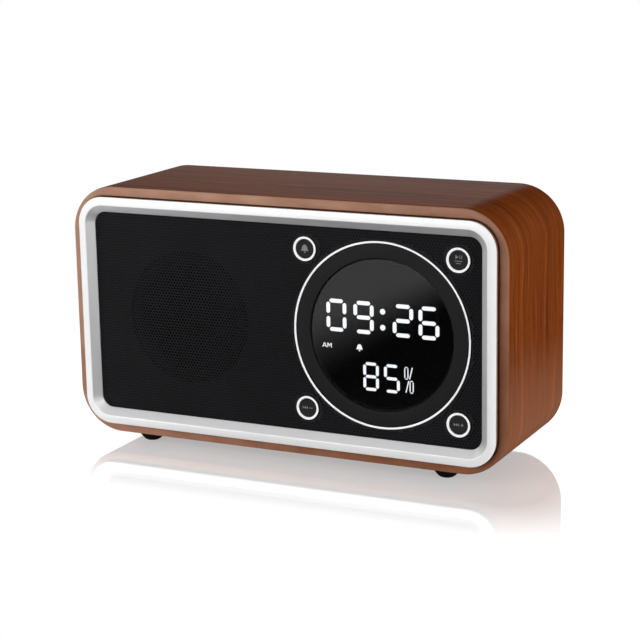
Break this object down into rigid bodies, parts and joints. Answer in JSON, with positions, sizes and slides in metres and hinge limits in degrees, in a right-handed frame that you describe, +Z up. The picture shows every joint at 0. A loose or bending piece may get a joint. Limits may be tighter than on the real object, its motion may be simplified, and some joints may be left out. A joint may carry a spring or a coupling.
{
  "type": "table clock speaker",
  "caption": "Wooden table alarm clock with a round LED time display, ring-framed push buttons and a loudspeaker behind a perforated grille.",
  "frame": {"origin": "on the table, under the middle of the whole clock", "axes": "+Z up, +X to the viewer's right along the front, the front faces -Y"},
  "size_m": [0.2, 0.071, 0.1136],
  "materials": {
    "walnut": "walnut veneer, satin lacquer",
    "satin_metal": "satin silver",
    "black_plastic": "fine matt",
    "black_mesh": "matt black, perforated",
    "milky_plastic": "white",
    "smoked_acrylic": "polished, smoked",
    "lit_segments": "milky, lit from behind",
    "circuit_board": "green solder mask",
    "grey_plastic": "fine matt dark grey",
    "rubber": "matt",
    "steel": "plated",
    "copper": "enamelled copper wire",
    "ferrite": "sintered ferrite",
    "paper_cone": "pressed paper",
    "cloth_spider": "resin-dipped cloth",
    "cell_sleeve": "plain blue shrink sleeve",
    "lead_cover": "soft PVC"
  },
  "bodies": {
    "case": {"wooden_case": "walnut", "front_bezel": "satin_metal", "front_baffle": "black_plastic", "speaker_grille": "black_mesh", "display_light_ring": "milky_plastic", "display_ring": "black_plastic", "display_lens": "smoked_acrylic", "display_mask": "black_plastic", "segment_diffuser": "lit_segments", "display_board": "circuit_board", "speaker_basket": "steel", "speaker_surround": "rubber", "spider": "cloth_spider", "magnet_top_plate": "steel", "ring_magnet": "ferrite", "pole_yoke": "steel", "rear_panel": "black_plastic", "main_board": "circuit_board", "shield_can": "steel", "aux_jack": "black_plastic", "usb_socket": "steel", "power_switch_body": "steel", "battery_cell": "cell_sleeve", "battery_cradle": "black_plastic", "speaker_lead": "lead_cover", "battery_lead": "lead_cover", "display_ribbon": "milky_plastic", "button_ring_top_left": "milky_plastic", "switch_body_top_left": "steel", "speaker_screw_top_left": "steel", "rear_screw_top_left": "steel", "button_ring_top_right": "milky_plastic", "switch_body_top_right": "steel", "speaker_screw_top_right": "steel", "rear_screw_top_right": "steel", "button_ring_bottom_left": "milky_plastic", "switch_body_bottom_left": "steel", "speaker_screw_bottom_left": "steel", "rear_screw_bottom_left": "steel", "button_ring_bottom_right": "milky_plastic", "switch_body_bottom_right": "steel", "speaker_screw_bottom_right": "steel", "rear_screw_bottom_right": "steel", "foot_front_left": "rubber", "foot_front_right": "rubber", "foot_rear_left": "rubber", "foot_rear_right": "rubber"},
    "button_top_left": {"button_cap_top_left": "grey_plastic", "switch_plunger_top_left": "grey_plastic"},
    "button_top_right": {"button_cap_top_right": "grey_plastic", "switch_plunger_top_right": "grey_plastic"},
    "button_bottom_left": {"button_cap_bottom_left": "grey_plastic", "switch_plunger_bottom_left": "grey_plastic"},
    "button_bottom_right": {"button_cap_bottom_right": "grey_plastic", "switch_plunger_bottom_right": "grey_plastic"},
    "power_slider": {"power_switch_slider": "grey_plastic"},
    "speaker_cone_assembly": {"speaker_cone": "paper_cone", "dust_cap": "paper_cone", "voice_coil": "copper"}
  },
  "joints": [
    {"name": "button_top_left_press", "type": "slide", "parent": "case", "child": "button_top_left", "axis": [0, 1, 0], "range_m": [0, 0.0005], "stiffness_N_per_m": 1200},
    {"name": "button_top_right_press", "type": "slide", "parent": "case", "child": "button_top_right", "axis": [0, 1, 0], "range_m": [0, 0.0005], "stiffness_N_per_m": 1200},
    {"name": "button_bottom_left_press", "type": "slide", "parent": "case", "child": "button_bottom_left", "axis": [0, 1, 0], "range_m": [0, 0.0005], "stiffness_N_per_m": 1200},
    {"name": "button_bottom_right_press", "type": "slide", "parent": "case", "child": "button_bottom_right", "axis": [0, 1, 0], "range_m": [0, 0.0005], "stiffness_N_per_m": 1200},
    {"name": "power_switch_slide", "type": "slide", "parent": "case", "child": "power_slider", "axis": [1, 0, 0], "range_m": [0, 0.002]},
    {"name": "speaker_cone_stroke", "type": "slide", "parent": "case", "child": "speaker_cone_assembly", "axis": [0, 1, 0], "range_m": [-0.0012, 0.0012], "stiffness_N_per_m": 1000}
  ]
}
